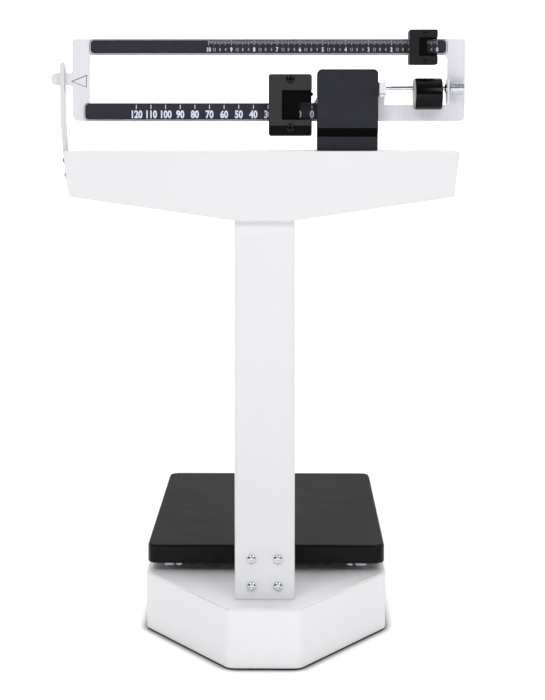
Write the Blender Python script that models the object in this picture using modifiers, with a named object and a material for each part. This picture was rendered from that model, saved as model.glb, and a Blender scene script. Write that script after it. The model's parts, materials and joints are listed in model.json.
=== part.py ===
"""Clinical beam scale with a low column: base, lever train, platform, column, head and weighing beam.

Everything is laid out in a design frame, in millimetres: X to the right along the beam, Y away from the
reader of the beam, Z up, with the column centred on X = 0, the front face of the base at Y = 0 and the
floor at Z = 0. One empty carries that frame, so that the finished object stands centred on the origin.
"""

import math

import bmesh
import bpy
from mathutils import Matrix, Vector

MM = 0.001
GAP = 0.3  # air left between touching pieces

# Whole object
CENTRE_X = -7.75
BASE_LENGTH = 497.0

# Base and platform
BASE_HALF_WIDTH = 139.5
BASE_NOSE_HALF_WIDTH = 38.8
BASE_TAPER = 137.0
BASE_BOTTOM = 1.8
BASE_TOP = 68.0
SHEET = 2.0
LID = 1.6
FLANGE = 18.0
RAIL_TOP = 12.0
PLATFORM_HALF_WIDTH = 138.2
PLATFORM_FRONT = 131.5
PLATFORM_REAR = 494.5
PLATFORM_TOP = 101.5
MAT = 1.6
MAT_INSET = 1.3
SKIRT_BOTTOM = 79.2

# Lever train: one long lever from the rear, one short lever from the front
LEVER_SIDE = 110.0
LONG_FULCRUM_Y = 470.0
SHORT_FULCRUM_Y = 150.0
LEVER_ARM = 30.0
LEVER_LINK_Y = 310.0
LONG_LOW, LONG_HIGH = 40.0, 50.0
SHORT_LOW, SHORT_HIGH = 24.0, 34.0
KNIFE = 4.0
EYE_BAR = 4.0

# Column
COLUMN_HALF_WIDTH = 33.0
COLUMN_FRONT, COLUMN_REAR = 30.0, 88.0
COLUMN_TOP = 502.7
BRACKET_TOP = 128.0
SCREW_X = 14.5
SCREW_Z = (83.0, 113.5)

# Head
HEAD_X = -3.2
HEAD_FRONT, HEAD_REAR = 22.0, 95.0
HEAD_TOP = 562.2
HEAD_HALF_TOP = 213.1
SHOULDER_Z, SHOULDER_HALF = 513.0, 207.9
HEAD_BOTTOM, HEAD_HALF_BOTTOM = 487.4, 34.4
HEAD_SHEET = 1.6

# Beam
BEAM_Y = 58.0
PLATE = 4.0
FULCRUM_X, FULCRUM_Z = 90.0, 626.0
LOAD_X = 115.0
ROD_X = 0.0
SHELF_FULCRUM_X = -100.0
SHELF_LOW, SHELF_HIGH = 528.0, 540.0
BEAM_LEFT, BEAM_RIGHT = -210.5, 218.5
BEAM_BOTTOM, BEAM_TOP = 594.2, 683.7
LOWER_BAR_TOP, UPPER_BAR_BOTTOM = 613.9, 665.9
POINTER_TIP, POINTER_Z, POINTER_HALF = -234.0, 640.0, 6.9
STRIP = 2.5
STRIP_FRONT = BEAM_Y - PLATE / 2 - GAP - STRIP
LOWER_ZERO, LOWER_STEP, LOWER_STEPS = 51.5, 16.0, 12
UPPER_ZERO, UPPER_STEP, UPPER_STEPS = 187.6, 24.9, 10

# Balance gear on the beam
BALANCE_Y, BALANCE_Z = 42.0, 630.0
BALANCE_DROP = 6.2  # the weight hangs by this much below its screw
WEIGHT_RADIUS = 17.1

bpy_objects = bpy.data.objects
for leftover in list(bpy_objects):
    bpy_objects.remove(leftover, do_unlink=True)


def make_collection(name):
    made = bpy.data.collections.new(name)
    bpy.context.scene.collection.children.link(made)
    return made


PARTS = make_collection("physician_beam_scale")
HELPERS = make_collection("helpers")
HELPERS.hide_render = True


def make_empty(name, at, parent=None):
    empty = bpy_objects.new(name, None)
    PARTS.objects.link(empty)
    empty.parent = parent
    empty.location = Vector(at) * MM - (design_place(parent) if parent else Vector())
    return empty


def design_place(empty):
    """An empty's place in the design frame."""
    place = Vector()
    while empty is not None and empty is not ORIGIN:
        place += empty.location
        empty = empty.parent
    return place


ORIGIN = bpy_objects.new("scale_origin", None)
PARTS.objects.link(ORIGIN)
ORIGIN.location = Vector((-CENTRE_X, -BASE_LENGTH / 2, 0.0)) * MM


def make_material(name, colour, roughness, metallic=0.0):
    made = bpy.data.materials.new(name)
    made.use_nodes = True
    shader = made.node_tree.nodes["Principled BSDF"]
    shader.inputs["Base Color"].default_value = (*colour, 1.0)
    shader.inputs["Roughness"].default_value = roughness
    shader.inputs["Metallic"].default_value = metallic
    return made


WHITE = (0.85, 0.86, 0.88)
STEEL = (0.55, 0.56, 0.58)
CHROME = (0.80, 0.81, 0.83)
ALUMINIUM = (0.66, 0.67, 0.72)
BLACK = (0.02, 0.02, 0.025)
CHARCOAL = (0.035, 0.037, 0.045)
RUBBER = (0.05, 0.05, 0.05)
OFF_WHITE = (0.62, 0.62, 0.61)

FINISHES = {
    "white_paint": (WHITE, 0.4, 0.0),
    "steel": (STEEL, 0.35, 1.0),
    "cast_steel": (STEEL, 0.6, 0.9),
    "chrome": (CHROME, 0.12, 1.0),
    "aluminium": (ALUMINIUM, 0.4, 1.0),
    "black_gloss": (BLACK, 0.2, 0.0),
    "black_paint": (BLACK, 0.45, 0.0),
    "charcoal": (CHARCOAL, 0.4, 0.0),
    "rubber": (RUBBER, 0.9, 0.0),
    "off_white": (OFF_WHITE, 0.5, 0.0),
}


# ---------------------------------------------------------------- building blocks


def add_object(name, mesh, helper=False):
    """Put a mesh that is in design millimetres into the scene, with its origin at its middle."""
    mesh.transform(Matrix.Scale(MM, 4))
    low = Vector([min(v.co[k] for v in mesh.vertices) for k in range(3)])
    high = Vector([max(v.co[k] for v in mesh.vertices) for k in range(3)])
    middle = (low + high) / 2
    mesh.transform(Matrix.Translation(-middle))
    obj = bpy_objects.new(name, mesh)
    obj.location = middle
    obj.parent = ORIGIN
    (HELPERS if helper else PARTS).objects.link(obj)
    if helper:
        obj.hide_render = True
        obj.display_type = "WIRE"
    return obj


def box_mesh(low, high):
    """A block between two corners."""
    low, high = Vector(low), Vector(high)
    bm = bmesh.new()
    bmesh.ops.create_cube(bm, size=1.0)
    bmesh.ops.scale(bm, vec=high - low, verts=bm.verts)
    bmesh.ops.translate(bm, vec=(low + high) / 2, verts=bm.verts)
    return finish_mesh(bm, "block")


def rod_mesh(start, end, radius, segments=20, end_radius=None):
    """A round bar, or a cone, between two points."""
    start, end = Vector(start), Vector(end)
    bm = bmesh.new()
    bmesh.ops.create_cone(
        bm,
        cap_ends=True,
        segments=segments,
        radius1=radius,
        radius2=radius if end_radius is None else end_radius,
        depth=(end - start).length,
    )
    turn = (end - start).to_track_quat("Z", "Y").to_matrix()
    bmesh.ops.rotate(bm, matrix=turn, verts=bm.verts)
    bmesh.ops.translate(bm, vec=(start + end) / 2, verts=bm.verts)
    return finish_mesh(bm, "rod")


def finish_mesh(bm, name):
    mesh = bpy.data.meshes.new(name)
    bm.to_mesh(mesh)
    bm.free()
    return mesh


def rounded(corners, radii, steps=3):
    """An outline's corners, each replaced by an arc of its own radius."""
    if not isinstance(radii, (list, tuple)):
        radii = [radii] * len(corners)
    points = []
    for i, (corner, radius) in enumerate(zip(corners, radii, strict=True)):
        here = Vector(corner)
        before = Vector(corners[i - 1]) - here
        after = Vector(corners[(i + 1) % len(corners)]) - here
        if radius <= 0:
            points.append(here)
            continue
        half = before.angle(after) / 2
        reach = radius / math.tan(half)
        middle = here + (before.normalized() + after.normalized()).normalized() * (
            radius / math.sin(half)
        )
        first = here + before.normalized() * reach - middle
        last = here + after.normalized() * reach - middle
        sweep = first.angle_signed(last)
        for step in range(steps + 1):
            turn = -sweep * step / steps
            points.append(middle + Matrix.Rotation(turn, 2) @ first)
    return [tuple(p) for p in points]


def inset(corners, distance):
    """A convex counter-clockwise outline moved inwards by a distance."""
    lines = []
    for i, corner in enumerate(corners):
        start, end = Vector(corner), Vector(corners[(i + 1) % len(corners)])
        along = (end - start).normalized()
        inward = Vector((-along.y, along.x)) * distance
        lines.append((start + inward, along))
    found = []
    for i, (point, along) in enumerate(lines):
        other, back = lines[i - 1]
        cross = along.x * back.y - along.y * back.x
        apart = other - point
        reach = (apart.x * back.y - apart.y * back.x) / cross
        found.append(tuple(point + along * reach))
    return found


def mirrored(half):
    """A full outline from its right-hand half, listed from one end of the middle line to the other."""
    return half + [(-x, y) for x, y in reversed(half)]


PLANES = {
    "XY": Matrix.Identity(3),
    "XZ": Matrix(((1, 0, 0), (0, 0, -1), (0, 1, 0))),
    "YZ": Matrix(((0, 0, 1), (1, 0, 0), (0, 1, 0))),
}
DEPTH_AXIS = {"XY": 2, "XZ": 1, "YZ": 0}


def plate_mesh(outline, plane, near, far):
    """A flat outline in one of the three planes, given a thickness from near to far."""
    curve = bpy.data.curves.new("outline", "CURVE")
    curve.dimensions = "2D"
    curve.fill_mode = "BOTH"
    curve.extrude = abs(far - near) / 2
    spline = curve.splines.new("POLY")
    spline.points.add(len(outline) - 1)
    for point, (a, b) in zip(spline.points, outline, strict=True):
        point.co = (a, b, 0.0, 1.0)
    spline.use_cyclic_u = True
    holder = bpy_objects.new("outline", curve)
    bpy.context.scene.collection.objects.link(holder)
    graph = bpy.context.evaluated_depsgraph_get()
    mesh = bpy.data.meshes.new_from_object(holder.evaluated_get(graph))
    bpy_objects.remove(holder, do_unlink=True)
    bpy.data.curves.remove(curve)
    bm = bmesh.new()
    bm.from_mesh(mesh)
    bmesh.ops.remove_doubles(bm, verts=bm.verts, dist=0.001)
    bm.to_mesh(mesh)
    bm.free()
    shift = Vector()
    shift[DEPTH_AXIS[plane]] = (near + far) / 2
    mesh.transform(Matrix.Translation(shift) @ PLANES[plane].to_4x4())
    return mesh


def wedge_mesh(edge, half_width, rise, plane, near, far):
    """A three-cornered bar with its sharp edge at a point: upwards when rise is below zero, else downwards."""
    a, b = edge
    side = half_width if rise > 0 else -half_width
    return plate_mesh([(a, b), (a + side, b + rise), (a - side, b + rise)], plane, near, far)


def piece(name, mesh, finish, parent=None, bevel=0.0, segments=2, cuts=(), joins=()):
    """One named sub-part: a mesh, rounded edges, then what is joined to it and what is cut from it."""
    obj = add_object(name, mesh)
    if bevel:
        edges = obj.modifiers.new("rounded edges", "BEVEL")
        edges.width = bevel * MM
        edges.segments = segments
        edges.limit_method = "ANGLE"
        edges.angle_limit = math.radians(40)
    for operation, meshes in (("UNION", joins), ("DIFFERENCE", cuts)):
        for number, helper_mesh in enumerate(meshes):
            kind = operation.lower()
            helper = add_object(f"{name}_{kind}_{number}", helper_mesh, helper=True)
            change = obj.modifiers.new(f"{kind} {number}", "BOOLEAN")
            change.operation = operation
            change.solver = "EXACT"
            change.object = helper
    dress(obj, finish, parent)
    return obj


def dress(obj, finish, parent=None):
    """Give a piece its own material, smooth shading and, on a moving piece, its parent empty."""
    obj.data.materials.clear()
    obj.data.materials.append(make_material(f"{obj.name}_{finish}", *FINISHES[finish]))
    obj.data.shade_smooth()
    obj.data.set_sharp_from_angle(angle=math.radians(35))
    if parent is not None:
        obj.location -= design_place(parent)
        obj.parent = parent


def turned_mesh(profile, steps):
    """A profile of (radius, height) from top to bottom, turned about Z and frozen into a mesh."""
    mesh = bpy.data.meshes.new("profile")
    mesh.from_pydata([(r, 0, z) for r, z in profile], [(i, i + 1) for i in range(len(profile) - 1)], [])
    holder = bpy_objects.new("profile", mesh)
    bpy.context.scene.collection.objects.link(holder)
    turn = holder.modifiers.new("turn", "SCREW")
    turn.steps = turn.render_steps = steps
    turn.use_merge_vertices = True
    turn.merge_threshold = 0.0001
    graph = bpy.context.evaluated_depsgraph_get()
    made = bpy.data.meshes.new_from_object(holder.evaluated_get(graph))
    bpy_objects.remove(holder, do_unlink=True)
    bpy.data.meshes.remove(mesh)
    return made


def screw_mesh(head_radius, head_height, shank_radius, shank_length, steps=16):
    """A pan-head screw with a cross recess, its head above Z = 0 and its shank below."""
    dome = [
        (head_radius * math.sin(turn), head_height * (0.35 + 0.65 * math.cos(turn)))
        for turn in (0.0, 0.55, 1.1, math.pi / 2)
    ]
    profile = [*dome, (head_radius, 0.0), (shank_radius, 0.0), (shank_radius, -shank_length)]
    mesh = turned_mesh([*profile, (0.0, -shank_length)], steps)
    holder = bpy_objects.new("screw", mesh)
    bpy.context.scene.collection.objects.link(holder)
    blades = []
    arm, blade, floor = head_radius * 0.55, head_radius * 0.11, head_height * 0.5
    for number, (across, along) in enumerate(((arm, blade), (blade, arm))):
        low = (-across, -along, floor + number * 0.05)
        cutter = bpy_objects.new("blade", box_mesh(low, (across, along, head_height * 2)))
        bpy.context.scene.collection.objects.link(cutter)
        cut = holder.modifiers.new("recess", "BOOLEAN")
        cut.operation = "DIFFERENCE"
        cut.object = cutter
        blades.append(cutter)
    graph = bpy.context.evaluated_depsgraph_get()
    made = bpy.data.meshes.new_from_object(holder.evaluated_get(graph))
    for helper in (holder, *blades):
        bpy_objects.remove(helper, do_unlink=True)
    made.transform(Matrix.Scale(MM, 4))
    return made


FACE_FRONT = Matrix.Rotation(math.pi / 2, 4, "X")
FACE_REAR = Matrix.Rotation(-math.pi / 2, 4, "X")
FACE_LEFT = Matrix.Rotation(-math.pi / 2, 4, "Y")


def screw(name, mesh, at, facing, finish, parent=None):
    """One screw, sharing its mesh with its twins: at is the middle of the seat under its head."""
    obj = bpy_objects.new(name, mesh)
    PARTS.objects.link(obj)
    obj.parent = ORIGIN
    obj.location = Vector(at) * MM
    obj.rotation_euler = facing.to_euler()
    dress(obj, finish, parent)


# ---------------------------------------------------------------- base


def base_corners():
    """Plan of the base, counter-clockwise: a rectangle whose front tapers to a narrow flat nose."""
    return [
        (-BASE_NOSE_HALF_WIDTH, 0.0),
        (BASE_NOSE_HALF_WIDTH, 0.0),
        (BASE_HALF_WIDTH, BASE_TAPER),
        (BASE_HALF_WIDTH, BASE_LENGTH),
        (-BASE_HALF_WIDTH, BASE_LENGTH),
        (-BASE_HALF_WIDTH, BASE_TAPER),
    ]


def base_outline(distance=0.0):
    radius = max(12.0 - distance, 3.0)
    return rounded(inset(base_corners(), distance) if distance else base_corners(), radius, 4)


FEET = {
    "foot_front_left": (-36.0, 20.0),
    "foot_front_right": (36.0, 20.0),
    "foot_rear_left": (-124.0, 484.0),
    "foot_rear_right": (124.0, 484.0),
}
FOOT_RADIUS, FOOT_PLUG = 9.0, 4.0
ROD_HOLE = 11.5


def build_base():
    wall_top = BASE_TOP - LID - GAP
    hollow = plate_mesh(base_outline(SHEET), "XY", BASE_BOTTOM + SHEET, wall_top + 5)
    underside = plate_mesh(base_outline(FLANGE), "XY", BASE_BOTTOM - 5, BASE_BOTTOM + 5)
    plugs = [
        rod_mesh((x, y, -5), (x, y, BASE_BOTTOM + SHEET + 1), FOOT_PLUG + GAP, 16) for x, y in FEET.values()
    ]
    pads = [box_mesh((x - 13, y - 13, BASE_BOTTOM), (x + 13, y + 13, BASE_BOTTOM + SHEET)) for x, y in FEET.values()]
    body = plate_mesh(base_outline(), "XY", BASE_BOTTOM, wall_top)
    piece("base_skirt", body, "white_paint", cuts=[hollow, underside_with_pads(underside, pads), *plugs])

    post_holes = [
        box_mesh((x - 13.5, y - 9.0, BASE_TOP - 10), (x + 13.5, y + 9.0, BASE_TOP + 5))
        for x in (-LEVER_SIDE, LEVER_SIDE)
        for y in (SHORT_FULCRUM_Y + LEVER_ARM, LONG_FULCRUM_Y - LEVER_ARM)
    ]
    rod_hole = rod_mesh((ROD_X, BEAM_Y, BASE_TOP - 10), (ROD_X, BEAM_Y, BASE_TOP + 5), ROD_HOLE)
    lid = plate_mesh(base_outline(), "XY", BASE_TOP - LID, BASE_TOP)
    piece("base_top_plate", lid, "white_paint", bevel=0.6, cuts=[*post_holes, rod_hole])

    for name, (x, y) in FEET.items():
        rim = BASE_BOTTOM - GAP
        profile = [
            (0.0, rim + SHEET),
            (FOOT_PLUG, rim + SHEET),
            (FOOT_PLUG, rim),
            (FOOT_RADIUS, rim),
            (FOOT_RADIUS, 0.4),
            (FOOT_RADIUS - 0.4, 0.0),
            (0.0, 0.0),
        ]
        mesh = turned_mesh(profile, 20)
        mesh.transform(Matrix.Translation((x, y, 0.0)))
        piece(name, mesh, "rubber")


def underside_with_pads(underside, pads):
    """The opening in the floor of the base, which leaves a pad of sheet over each foot."""
    holder = bpy_objects.new("underside", underside)
    bpy.context.scene.collection.objects.link(holder)
    helpers = [holder]
    for pad in pads:
        cutter = bpy_objects.new("pad", pad)
        bpy.context.scene.collection.objects.link(cutter)
        cut = holder.modifiers.new("pad", "BOOLEAN")
        cut.operation = "DIFFERENCE"
        cut.object = cutter
        helpers.append(cutter)
    graph = bpy.context.evaluated_depsgraph_get()
    made = bpy.data.meshes.new_from_object(holder.evaluated_get(graph))
    for helper in helpers:
        bpy_objects.remove(helper, do_unlink=True)
    return made


# ---------------------------------------------------------------- lever train


def groove_mesh(edge, plane, near, far):
    """A wide V cut under a knife edge at a point, or over it when the knife points up."""
    return wedge_mesh((edge[0], edge[1] - GAP), 5.0, 5.0, plane, near, far)


def build_rails():
    """Cross rails on the flange of the base, each with the two grooved stands of one lever."""
    reach = BASE_HALF_WIDTH - SHEET - 3.5
    floor = BASE_BOTTOM + SHEET + GAP
    for name, y, lever_bottom in (
        ("base_rail_front", SHORT_FULCRUM_Y, SHORT_LOW),
        ("base_rail_rear", LONG_FULCRUM_Y, LONG_LOW),
    ):
        edge = lever_bottom - KNIFE
        rail = box_mesh((-reach, y - 15, floor), (reach, y + 15, RAIL_TOP))
        stands, grooves = [], []
        for x in (-LEVER_SIDE, LEVER_SIDE):
            stands.append(box_mesh((x - 8, y - 8, RAIL_TOP - 1), (x + 8, y + 8, edge + 2.0)))
            grooves.append(groove_mesh((y, edge), "YZ", x - 12, x + 12))
        piece(name, rail, "cast_steel", bevel=1.0, segments=1, joins=stands, cuts=grooves)


def build_long_lever():
    """The long lever: an A in plan, with fulcrums at the rear, its load knives ahead of them and its nose
    under the column. A tongue behind its open middle carries the link to the short lever."""
    outer = [(4.5, 46), (4.5, 84), (116, 424), (116, 482), (104, 482), (104, 428), (72, 331), (0, 331)]
    hole = mirrored([(4.5, 304), (4.5, 319), (56, 319), (6, 130)])
    body = plate_mesh(mirrored(outer[:-1]), "XY", LONG_LOW, LONG_HIGH)
    window = plate_mesh(hole, "XY", LONG_LOW - 5, LONG_HIGH + 5)
    load_y = LONG_FULCRUM_Y - LEVER_ARM
    knives = []
    for x in (-LEVER_SIDE, LEVER_SIDE):
        low = (LONG_FULCRUM_Y, LONG_LOW - KNIFE)
        knives.append(wedge_mesh(low, 4.0, KNIFE + 1, "YZ", x - 6, x + 6))
        knives.append(wedge_mesh((load_y, LONG_HIGH + KNIFE), 4.0, -KNIFE - 1, "YZ", x - 6, x + 6))
    knives.append(wedge_mesh((LEVER_LINK_Y, LONG_HIGH + KNIFE), 4.0, -KNIFE - 1, "YZ", -4.5, 4.5))
    knives.append(wedge_mesh((BEAM_Y, LONG_LOW - KNIFE), 4.0, KNIFE + 1, "YZ", -4.5, 4.5))
    pivot = make_empty("long_lever_fulcrum", (0, LONG_FULCRUM_Y, LONG_LOW - KNIFE), ORIGIN)
    piece("long_lever", body, "cast_steel", pivot, joins=knives, cuts=[window])


def build_short_lever():
    """The short lever: a V in plan, with fulcrums at the front and its nose hung from the long lever."""
    outer = [(4.5, 317), (4.5, 306), (116, 192), (116, 138), (104, 138), (104, 187), (4, 290)]
    body = plate_mesh(mirrored(outer), "XY", SHORT_LOW, SHORT_HIGH)
    load_y = SHORT_FULCRUM_Y + LEVER_ARM
    knives = []
    for x in (-LEVER_SIDE, LEVER_SIDE):
        low = (SHORT_FULCRUM_Y, SHORT_LOW - KNIFE)
        knives.append(wedge_mesh(low, 4.0, KNIFE + 1, "YZ", x - 6, x + 6))
        knives.append(wedge_mesh((load_y, SHORT_HIGH + KNIFE), 4.0, -KNIFE - 1, "YZ", x - 6, x + 6))
    knives.append(wedge_mesh((LEVER_LINK_Y, SHORT_LOW - KNIFE), 4.0, KNIFE + 1, "YZ", -4.5, 4.5))
    pivot = make_empty("short_lever_fulcrum", (0, SHORT_FULCRUM_Y, SHORT_LOW - KNIFE), ORIGIN)
    piece("short_lever", body, "cast_steel", pivot, joins=knives)


def eye(middle, half_inner, low_inner, high_inner, plane):
    """Outer and inner blocks of a rectangular eye whose bars rest on knife edges, lying in XZ or in YZ."""
    x, y = middle
    wide, thin = half_inner + EYE_BAR, EYE_BAR / 2
    spans = {"XZ": ((wide, thin), (half_inner, thin + 2)), "YZ": ((thin, wide), (thin + 2, half_inner))}
    (ox, oy), (ix, iy) = spans[plane]
    outer = box_mesh((x - ox, y - oy, low_inner - EYE_BAR), (x + ox, y + oy, high_inner + EYE_BAR))
    return outer, box_mesh((x - ix, y - iy, low_inner), (x + ix, y + iy, high_inner))


def build_links():
    """The link between the two levers, the draft rod up the column and the link up to the beam."""
    outer, inner = eye((0, LEVER_LINK_Y), 6.5, SHORT_LOW - KNIFE - GAP, LONG_HIGH + KNIFE + GAP, "XZ")
    lever_link = make_empty("lever_link_place", (0, LEVER_LINK_Y, SHORT_LOW), ORIGIN)
    piece("lever_link", outer, "steel", lever_link, cuts=[inner])

    low_outer, low_inner = eye((ROD_X, BEAM_Y), 6.5, LONG_LOW - KNIFE - GAP, LONG_HIGH + 6, "XZ")
    high_low = SHELF_LOW - 5
    top_outer, top_inner = eye((ROD_X, BEAM_Y), 6.5, high_low, SHELF_HIGH + KNIFE + GAP, "YZ")
    shaft = rod_mesh((ROD_X, BEAM_Y, LONG_HIGH + 8), (ROD_X, BEAM_Y, high_low - 2), 2.5, 16)
    rod = make_empty("draft_rod_place", (ROD_X, BEAM_Y, 300), ORIGIN)
    piece("draft_rod", shaft, "steel", rod, joins=[low_outer, top_outer], cuts=[low_inner, top_inner])

    outer, inner = eye((LOAD_X, BEAM_Y), 10.0, SHELF_LOW - KNIFE - GAP, FULCRUM_Z + GAP, "YZ")
    link = make_empty("shelf_link_place", (LOAD_X, BEAM_Y, SHELF_LOW), ORIGIN)
    piece("shelf_link", outer, "steel", link, cuts=[inner])


def build_shelf():
    """Inside the head: the shelf on top of the column, the stand on it and the lever that crosses over."""
    shelf_low = COLUMN_TOP + GAP
    shelf = box_mesh((-112, 26, shelf_low), (118, 91, shelf_low + 2.5))
    upstand = box_mesh((-112, 88.8, shelf_low), (118, 91, shelf_low + 22))
    hole = rod_mesh((ROD_X, BEAM_Y, shelf_low - 5), (ROD_X, BEAM_Y, shelf_low + 8), ROD_HOLE)
    tapped = [rod_mesh((x, 80, shelf_low + 14), (x, 97, shelf_low + 14), 2.0, 12) for x in COVER_SCREWS_X]
    piece("head_shelf", shelf, "steel", joins=[upstand], cuts=[hole, *tapped])

    x, seat = SHELF_FULCRUM_X, shelf_low + 2.5 + GAP
    foot = box_mesh((x - 13, BEAM_Y - 15, seat), (x + 13, BEAM_Y + 15, seat + 3))
    post = box_mesh((x - 7, BEAM_Y - 9, seat + 2), (x + 7, BEAM_Y + 9, SHELF_LOW - KNIFE + 2))
    groove = groove_mesh((x, SHELF_LOW - KNIFE), "XZ", BEAM_Y - 12, BEAM_Y + 12)
    piece("shelf_lever_stand", foot, "cast_steel", bevel=0.8, segments=1, joins=[post], cuts=[groove])

    low, high, tooth = SHELF_LOW, SHELF_HIGH, KNIFE
    outline = [
        (x - 9, low + 2),
        (x - 4, low),
        (x, low - tooth),
        (x + 4, low),
        (LOAD_X - 4, low + 1),
        (LOAD_X, low - tooth),
        (LOAD_X + 4, low + 1),
        (LOAD_X + 8, low + 3),
        (LOAD_X + 8, high - 3),
        (ROD_X + 12, high),
        (ROD_X + 4, high),
        (ROD_X, high + tooth),
        (ROD_X - 4, high),
        (ROD_X - 12, high),
        (x - 9, high - 3),
    ]
    pivot = make_empty("shelf_lever_fulcrum", (x, BEAM_Y, low - tooth), ORIGIN)
    bar = plate_mesh(outline, "XZ", BEAM_Y - 4, BEAM_Y + 4)
    piece("shelf_lever", bar, "cast_steel", pivot)


# ---------------------------------------------------------------- platform

POST_HALF_X, POST_HALF_Y = 10.5, 6.0
TRAY_BOTTOM = 84.0


def build_platform():
    half, front, rear = PLATFORM_HALF_WIDTH, PLATFORM_FRONT, PLATFORM_REAR
    cover_top = PLATFORM_TOP - MAT - GAP
    tray_top = cover_top - 1.8
    platform = make_empty("platform_place", (0, (front + rear) / 2, PLATFORM_TOP), ORIGIN)

    def sheet(distance, radius, low, high):
        corners = [
            (-half + distance, front + distance),
            (half - distance, front + distance),
            (half - distance, rear - distance),
            (-half + distance, rear - distance),
        ]
        return plate_mesh(rounded(corners, radius, 4), "XY", low, high)

    cover_hollow = sheet(1.6, 10.4, SKIRT_BOTTOM - 5, tray_top + GAP)
    skin = sheet(0, 12.0, SKIRT_BOTTOM, cover_top)
    piece("platform_cover", skin, "black_gloss", platform, bevel=1.2, cuts=[cover_hollow])
    mat = sheet(MAT_INSET, 12.0 - MAT_INSET, PLATFORM_TOP - MAT, PLATFORM_TOP)
    piece("platform_mat", mat, "rubber", platform, bevel=0.5, segments=1)

    tray = sheet(9.0, 6.0, TRAY_BOTTOM, tray_top)
    middle = (front + rear) / 2
    bays = [
        box_mesh((-97, front + 36, TRAY_BOTTOM - 3), (97, middle - 18, tray_top + 3)),
        box_mesh((-97, middle + 18, TRAY_BOTTOM - 3), (97, rear - 36, tray_top + 3)),
    ]
    piece("platform_frame", tray, "cast_steel", platform, cuts=bays)

    for depth, y, knife_top in (
        ("front", SHORT_FULCRUM_Y + LEVER_ARM, SHORT_HIGH + KNIFE),
        ("rear", LONG_FULCRUM_Y - LEVER_ARM, LONG_HIGH + KNIFE),
    ):
        for side, x in (("left", -LEVER_SIDE), ("right", LEVER_SIDE)):
            low = (x - POST_HALF_X, y - POST_HALF_Y, knife_top + GAP)
            post = box_mesh(low, (x + POST_HALF_X, y + POST_HALF_Y, TRAY_BOTTOM - GAP))
            piece(f"platform_bearing_{depth}_{side}", post, "steel", platform, bevel=1.2)


# ---------------------------------------------------------------- column and head

COVER_SCREWS_X = (-70.0, 70.0)
COLUMN_SCREW_SEAT = COLUMN_FRONT - GAP


def build_column():
    half, front, rear = COLUMN_HALF_WIDTH, COLUMN_FRONT, COLUMN_REAR
    low = BASE_TOP + GAP

    def tube(distance, radius, bottom, top):
        corners = [
            (-half + distance, front + distance),
            (half - distance, front + distance),
            (half - distance, rear - distance),
            (-half + distance, rear - distance),
        ]
        return plate_mesh(rounded(corners, radius, 3), "XY", bottom, top)

    def screw_holes(reach):
        return [
            rod_mesh((x, front - 5, z), (x, front + reach, z), 2.4 + GAP, 12)
            for x in (-SCREW_X, SCREW_X)
            for z in SCREW_Z
        ]

    skin = tube(0, 3.0, low, COLUMN_TOP)
    bore = tube(SHEET, 0.0, low - 5, COLUMN_TOP + 5)
    piece("column_tube", skin, "white_paint", cuts=[bore, *screw_holes(5)])

    inner = half - SHEET - GAP
    block = box_mesh((-inner, front + SHEET + GAP, low), (inner, rear - SHEET - GAP - 4, BRACKET_TOP))
    bay = box_mesh((-inner + 3, front + SHEET + GAP + 3, low + 3), (inner - 3, rear + 5, BRACKET_TOP + 5))
    rod_hole = rod_mesh((ROD_X, BEAM_Y, low - 5), (ROD_X, BEAM_Y, low + 8), ROD_HOLE)
    piece("column_bracket", block, "cast_steel", cuts=[bay, rod_hole, *screw_holes(10)])

    mesh = screw_mesh(5.2, 3.2, 2.4, 9.0)
    for level, z in zip(("lower", "upper"), SCREW_Z, strict=True):
        for side, x in (("left", -SCREW_X), ("right", SCREW_X)):
            at = (x, COLUMN_SCREW_SEAT, z)
            screw(f"column_screw_{level}_{side}", mesh, at, FACE_FRONT, "chrome")


def head_corners():
    """Front outline of the head, counter-clockwise from the left shoulder."""
    return [
        (HEAD_X - SHOULDER_HALF, SHOULDER_Z),
        (-HEAD_HALF_BOTTOM, HEAD_BOTTOM),
        (HEAD_HALF_BOTTOM, HEAD_BOTTOM),
        (HEAD_X + SHOULDER_HALF, SHOULDER_Z),
        (HEAD_X + HEAD_HALF_TOP, HEAD_TOP),
        (HEAD_X - HEAD_HALF_TOP, HEAD_TOP),
    ]


LOOP_WALL_X = HEAD_X - HEAD_HALF_TOP  # left end of the head at its top edge
LOOP_SLOPE = (HEAD_HALF_TOP - SHOULDER_HALF) / (HEAD_TOP - SHOULDER_Z)
LOOP_THICK, LOOP_HALF_DEPTH = 4.4, 8.5
LOOP_TOP, LOOP_BEND_Z, LOOP_FOOT_Z = 658.6, 597.0, 528.0
LOOP_SLOT_LOW, LOOP_SLOT_HIGH, LOOP_SLOT_HALF = POINTER_Z - 13.4, POINTER_Z + 13.4, 5.0
LOOP_SCREW_Z = (535.0, 551.0)


def loop_wall(z):
    """X of the head's left end at a height."""
    return LOOP_WALL_X + LOOP_SLOPE * (HEAD_TOP - z)


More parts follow.
